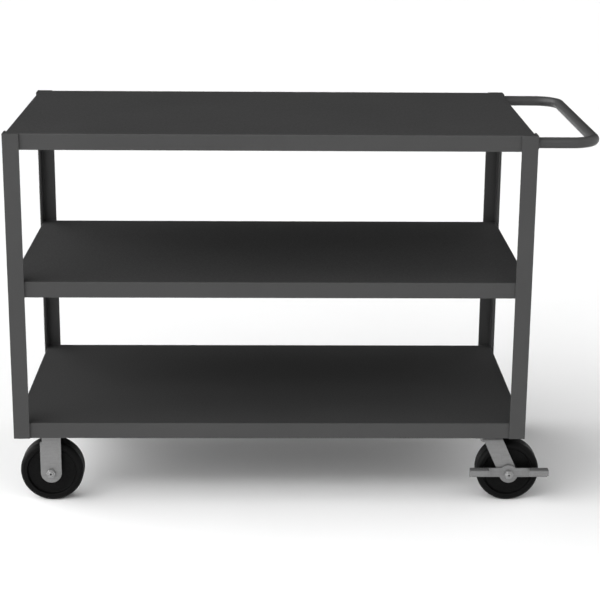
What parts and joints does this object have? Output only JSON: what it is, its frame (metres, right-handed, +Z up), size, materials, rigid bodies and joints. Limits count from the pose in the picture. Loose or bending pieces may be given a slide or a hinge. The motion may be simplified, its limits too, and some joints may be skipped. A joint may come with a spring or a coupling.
{
  "type": "utility cart",
  "caption": "Welded steel utility cart with flush lipped shelves, angle corner posts, a tubular push handle, rigid casters at one end and braked swivel casters at the handle end.",
  "frame": {"origin": "on the floor, under the centre of the cart's overall box", "axes": "+X along the cart towards the push handle, +Y to the left when facing the handle end, +Z up"},
  "size_m": [1.3779, 0.616, 0.9144],
  "materials": {
    "frame_paint": "mid grey powder coat, satin",
    "caster_zinc": "dull zinc plate",
    "pedal_zinc": "dull zinc plate, worn on the treads",
    "fastener_zinc": "bright zinc plate",
    "bearing_steel": "ground steel",
    "wheel_phenolic": "near-black moulded phenolic, semi-matt"
  },
  "bodies": {
    "frame": {"caster_plate_bolts": "fastener_zinc", "caster_plate_nuts": "fastener_zinc", "corner_post_front_left": "frame_paint", "corner_post_front_right": "frame_paint", "corner_post_rear_left": "frame_paint", "corner_post_rear_right": "frame_paint", "lower_shelf": "frame_paint", "lower_shelf_stiffener": "frame_paint", "middle_shelf": "frame_paint", "middle_shelf_stiffener": "frame_paint", "push_handle": "frame_paint", "rigid_caster_channel": "frame_paint", "rigid_front_axle_bolt": "fastener_zinc", "rigid_front_axle_bushing": "bearing_steel", "rigid_front_axle_nut": "fastener_zinc", "rigid_front_fork": "caster_zinc", "rigid_front_thrust_washers": "bearing_steel", "rigid_rear_axle_bolt": "fastener_zinc", "rigid_rear_axle_bushing": "bearing_steel", "rigid_rear_axle_nut": "fastener_zinc", "rigid_rear_fork": "caster_zinc", "rigid_rear_thrust_washers": "bearing_steel", "swivel_caster_channel": "frame_paint", "swivel_front_kingpin": "fastener_zinc", "swivel_front_kingpin_nut": "fastener_zinc", "swivel_front_lower_race": "bearing_steel", "swivel_front_plate": "caster_zinc", "swivel_front_upper_race": "caster_zinc", "swivel_rear_kingpin": "fastener_zinc", "swivel_rear_kingpin_nut": "fastener_zinc", "swivel_rear_lower_race": "bearing_steel", "swivel_rear_plate": "caster_zinc", "swivel_rear_upper_race": "caster_zinc", "top_shelf": "frame_paint", "top_shelf_stiffener": "frame_paint"},
    "rigid_front_wheel_body": {"rigid_front_roller_bearing": "bearing_steel", "rigid_front_wheel": "wheel_phenolic"},
    "rigid_rear_wheel_body": {"rigid_rear_roller_bearing": "bearing_steel", "rigid_rear_wheel": "wheel_phenolic"},
    "swivel_front_head": {"swivel_front_axle_bolt": "fastener_zinc", "swivel_front_axle_bushing": "bearing_steel", "swivel_front_axle_nut": "fastener_zinc", "swivel_front_balls": "bearing_steel", "swivel_front_brake_cam": "caster_zinc", "swivel_front_fork": "caster_zinc", "swivel_front_thrust_washers": "bearing_steel"},
    "swivel_rear_head": {"swivel_rear_axle_bolt": "fastener_zinc", "swivel_rear_axle_bushing": "bearing_steel", "swivel_rear_axle_nut": "fastener_zinc", "swivel_rear_balls": "bearing_steel", "swivel_rear_brake_cam": "caster_zinc", "swivel_rear_fork": "caster_zinc", "swivel_rear_thrust_washers": "bearing_steel"},
    "swivel_front_wheel_body": {"swivel_front_roller_bearing": "bearing_steel", "swivel_front_wheel": "wheel_phenolic"},
    "swivel_rear_wheel_body": {"swivel_rear_roller_bearing": "bearing_steel", "swivel_rear_wheel": "wheel_phenolic"},
    "swivel_front_pedal_body": {"swivel_front_brake_pedal": "pedal_zinc"},
    "swivel_rear_pedal_body": {"swivel_rear_brake_pedal": "pedal_zinc"}
  },
  "joints": [
    {"name": "rigid_front_wheel_spin", "type": "hinge", "parent": "frame", "child": "rigid_front_wheel_body", "pos_m": [-0.60615, -0.246, 0.0762], "axis": [0, 1, 0], "continuous": true},
    {"name": "rigid_rear_wheel_spin", "type": "hinge", "parent": "frame", "child": "rigid_rear_wheel_body", "pos_m": [-0.60615, 0.246, 0.0762], "axis": [0, 1, 0], "continuous": true},
    {"name": "swivel_front_turn", "type": "hinge", "parent": "frame", "child": "swivel_front_head", "pos_m": [0.45175, -0.246, 0.1685], "axis": [0, 0, 1], "continuous": true},
    {"name": "swivel_front_wheel_spin", "type": "hinge", "parent": "swivel_front_head", "child": "swivel_front_wheel_body", "pos_m": [0.50415, -0.246, 0.0762], "axis": [0, 1, 0], "continuous": true},
    {"name": "swivel_front_brake_tilt", "type": "hinge", "parent": "swivel_front_head", "child": "swivel_front_pedal_body", "pos_m": [0.50415, -0.246, 0.0762], "axis": [0, 1, 0], "range_deg": [-14, 14]},
    {"name": "swivel_rear_turn", "type": "hinge", "parent": "frame", "child": "swivel_rear_head", "pos_m": [0.45175, 0.246, 0.1685], "axis": [0, 0, 1], "continuous": true},
    {"name": "swivel_rear_wheel_spin", "type": "hinge", "parent": "swivel_rear_head", "child": "swivel_rear_wheel_body", "pos_m": [0.50415, 0.246, 0.0762], "axis": [0, 1, 0], "continuous": true},
    {"name": "swivel_rear_brake_tilt", "type": "hinge", "parent": "swivel_rear_head", "child": "swivel_rear_pedal_body", "pos_m": [0.50415, 0.246, 0.0762], "axis": [0, 1, 0], "range_deg": [-14, 14]}
  ]
}
